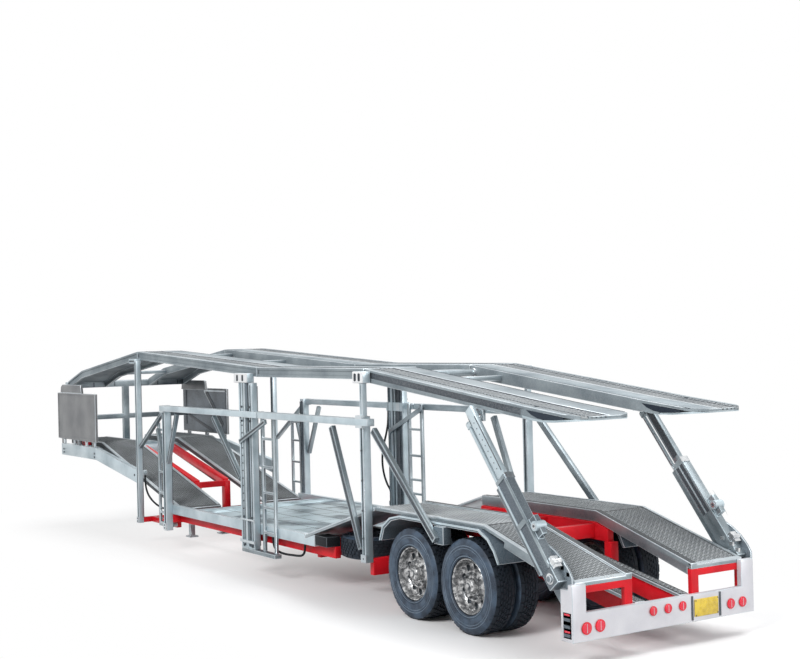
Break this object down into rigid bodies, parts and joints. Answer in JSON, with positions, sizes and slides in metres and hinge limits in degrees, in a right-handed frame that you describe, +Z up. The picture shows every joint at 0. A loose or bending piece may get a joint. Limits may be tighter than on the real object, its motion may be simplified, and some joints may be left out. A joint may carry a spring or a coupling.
{
  "type": "scale model car transporter semi-trailer",
  "caption": "Two-level car transporter semi-trailer model: raised gooseneck, low deck, upper deck on posts, tilting rear deck on telescoping arms, tandem twin wheels.",
  "frame": {"origin": "on the ground under the middle of the overall length and width", "axes": "+X forward towards the tractor, +Y to the trailer's left, +Z up"},
  "size_m": [0.5756, 0.1036, 0.1223],
  "materials": {
    "silver": "satin silver paint",
    "tread": "satin grey with raised tread",
    "red": "gloss red",
    "tyre": "matt black",
    "bright": "bright plated",
    "lamp": "clear red",
    "plate": "blank yellow plate",
    "dark": "satin black"
  },
  "bodies": {
    "trailer": {"bumper": "silver", "tail_lamps": "lamp", "number_plate": "plate", "tail_tracks": "tread", "tail_frame": "red", "inner_rails": "silver", "tail_sides": "silver", "axles": "dark", "main_frame": "red", "frame_cross": "red", "suspension": "red", "low_deck": "tread", "rise_tracks": "tread", "deck_beams": "silver", "posts_a": "silver", "posts_b": "silver", "posts_c": "silver", "posts_d": "silver", "side_rails": "silver", "side_braces": "silver", "ladders_rear": "silver", "ladders_front": "silver", "fenders": "silver", "head_deck": "tread", "nose_deck": "tread", "middle_deck": "tread", "deck_ties": "silver", "neck_beams": "silver", "front_panels": "silver", "front_ramps": "tread", "neck_frame": "silver", "coupling_pin": "bright", "ramp_trestle": "red", "front_rack": "silver", "landing_legs": "dark", "spare_tyre": "tyre", "spare_carrier": "dark", "air_tank": "dark", "hose_front": "dark", "hose_low": "dark", "hose_right": "dark", "hose_fittings": "silver"},
    "wheels_front_left": {"tyres_front_left": "tyre", "rim_front_left": "bright"},
    "wheels_front_right": {"tyres_front_right": "tyre", "rim_front_right": "bright"},
    "wheels_rear_left": {"tyres_rear_left": "tyre", "rim_rear_left": "bright"},
    "wheels_rear_right": {"tyres_rear_right": "tyre", "rim_rear_right": "bright"},
    "rear_deck": {"rear_deck": "tread", "deck_hinge": "silver"},
    "arm_sleeve_left": {"arm_sleeve_left": "silver"},
    "arm_inner_left": {"arm_inner_left": "silver"},
    "arm_sleeve_right": {"arm_sleeve_right": "silver"},
    "arm_inner_right": {"arm_inner_right": "silver"}
  },
  "joints": [
    {"name": "roll_front_left", "type": "hinge", "parent": "trailer", "child": "wheels_front_left", "pos_m": [-0.17155, 0, 0.0204], "axis": [0, 1, 0], "continuous": true},
    {"name": "roll_front_right", "type": "hinge", "parent": "trailer", "child": "wheels_front_right", "pos_m": [-0.17155, 0, 0.0204], "axis": [0, 1, 0], "continuous": true},
    {"name": "roll_rear_left", "type": "hinge", "parent": "trailer", "child": "wheels_rear_left", "pos_m": [-0.21395, 0, 0.0204], "axis": [0, 1, 0], "continuous": true},
    {"name": "roll_rear_right", "type": "hinge", "parent": "trailer", "child": "wheels_rear_right", "pos_m": [-0.21395, 0, 0.0204], "axis": [0, 1, 0], "continuous": true},
    {"name": "rear_deck_tilt", "type": "hinge", "parent": "trailer", "child": "rear_deck", "pos_m": [-0.13835, 0, 0.1083], "axis": [0, -1, 0], "range_deg": [-2, 10]},
    {"name": "arm_swing_left", "type": "hinge", "parent": "trailer", "child": "arm_sleeve_left", "pos_m": [-0.27535, 0, 0.0324], "axis": [0, -1, 0], "range_deg": [-9.6, 2.1]},
    {"name": "arm_stroke_left", "type": "slide", "parent": "arm_sleeve_left", "child": "arm_inner_left", "axis": [0.6399, 0, 0.7684], "range_m": [-0.009, 0.002]},
    {"name": "arm_swing_right", "type": "hinge", "parent": "trailer", "child": "arm_sleeve_right", "pos_m": [-0.27535, 0, 0.0324], "axis": [0, -1, 0], "range_deg": [-9.6, 2.1]},
    {"name": "arm_stroke_right", "type": "slide", "parent": "arm_sleeve_right", "child": "arm_inner_right", "axis": [0.6399, 0, 0.7684], "range_m": [-0.009, 0.002]}
  ],
  "couplings": [
    {"joint": "arm_swing_left", "follows": "rear_deck_tilt", "ratio": -0.941},
    {"joint": "arm_stroke_left", "follows": "rear_deck_tilt", "m_per_rad": -0.04685},
    {"joint": "arm_swing_right", "follows": "rear_deck_tilt", "ratio": -0.941},
    {"joint": "arm_stroke_right", "follows": "rear_deck_tilt", "m_per_rad": -0.04685}
  ]
}
